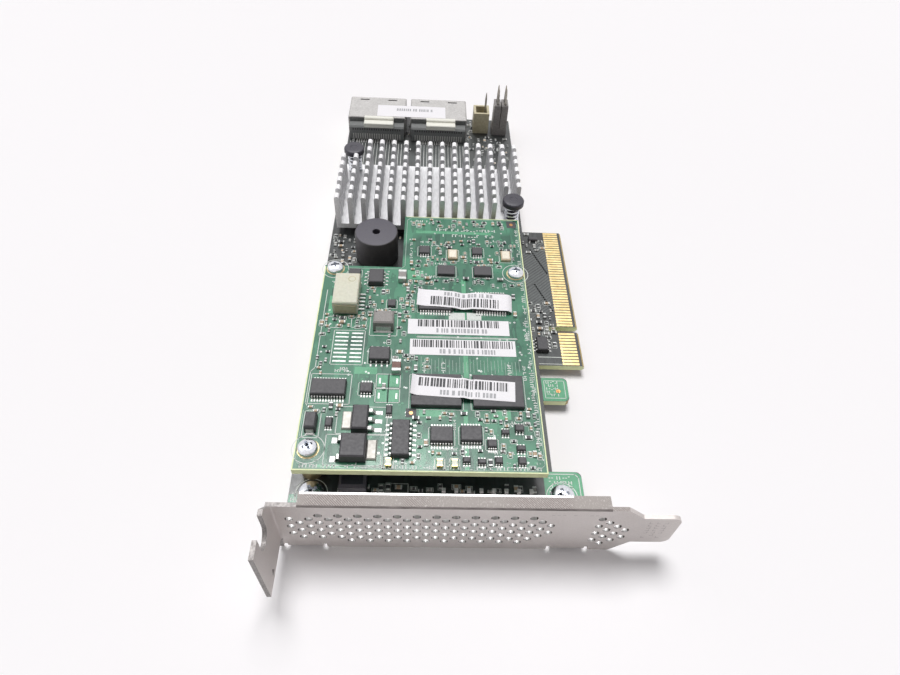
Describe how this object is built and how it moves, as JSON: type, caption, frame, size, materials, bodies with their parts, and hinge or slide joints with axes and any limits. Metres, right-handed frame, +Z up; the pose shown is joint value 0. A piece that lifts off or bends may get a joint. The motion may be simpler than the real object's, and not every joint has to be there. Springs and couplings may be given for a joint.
{
  "type": "raid controller card",
  "caption": "Low-profile plug-in storage controller card with a pin-fin heat sink, a stacked module board, two rear cable ports and a perforated bracket.",
  "frame": {"origin": "middle of the card seen from above, at the height of its lowest points", "axes": "+X from the plain long edge to the edge connector, +Y from the bracket to the cable ports, +Z up from the component side"},
  "size_m": [0.0792, 0.1724, 0.0235],
  "materials": {
    "main_mask": "dark green-grey solder mask over glass-epoxy laminate",
    "module_mask": "green solder mask over glass-epoxy laminate",
    "gold": "gold-plated contact",
    "bracket_steel": "satin nickel-plated steel sheet",
    "screw_steel": "bright plated steel",
    "sink_aluminium": "matt extruded aluminium",
    "chip_black": "moulded epoxy",
    "pad_grey": "soft thermal pad",
    "pin_black": "black nylon",
    "shell_steel": "bright tinned steel cover",
    "latch_cream": "cream nylon",
    "header_tan": "tan nylon",
    "tin": "tinned metal",
    "buzzer_black": "black polyester",
    "standoff_metal": "plated brass",
    "connector_cream": "cream nylon",
    "package_black": "moulded epoxy with tinned leads",
    "choke_grey": "sintered powder",
    "capacitor_brown": "brown moulded capacitor with tinned ends",
    "oscillator_cream": "cream ceramic",
    "led_cream": "clear yellowish lens",
    "passive_grey": "ceramic with tinned ends",
    "label_white": "white paper label"
  },
  "bodies": {
    "root": {"main_board": "main_mask", "edge_contacts": "gold", "bracket": "bracket_steel", "bracket_screws": "screw_steel", "controller_chip": "chip_black", "thermal_pad": "pad_grey", "heat_sink": "sink_aluminium", "push_pins": "pin_black", "push_pin_springs": "screw_steel", "port_shell_left": "shell_steel", "port_shell_right": "shell_steel", "port_housing_left": "pin_black", "port_housing_right": "pin_black", "port_leads_left": "tin", "port_leads_right": "tin", "port_latch_left": "latch_cream", "port_latch_right": "latch_cream", "port_label": "label_white", "shrouded_header": "header_tan", "shrouded_header_pins": "tin", "jumper_header_base": "pin_black", "jumper_header_pins": "tin", "jumper_caps": "pin_black", "buzzer": "buzzer_black", "buzzer_pins": "tin", "module_board": "module_mask", "module_standoffs": "standoff_metal", "module_screws": "screw_steel", "stacking_plug": "pin_black", "stacking_socket": "pin_black", "power_transistors": "package_black", "rectifier_diode": "package_black", "module_choke": "choke_grey", "module_capacitors": "capacitor_brown", "so8_chips": "package_black", "gate_driver_chip": "package_black", "so14_chip": "package_black", "ssop_chips": "package_black", "msop_chips": "package_black", "cache_chips": "package_black", "memory_chips": "chip_black", "flat_chips": "chip_black", "small_transistors": "package_black", "oscillators": "oscillator_cream", "module_leds": "led_cream", "power_connector": "connector_cream", "power_connector_pins": "tin", "label_cache": "label_white", "label_upper": "label_white", "label_lower": "label_white", "label_memory": "label_white", "module_passives": "passive_grey", "main_board_passives": "passive_grey", "front_choke": "choke_grey", "activity_leds": "led_cream", "main_board_chips": "package_black"}
  },
  "joints": []
}
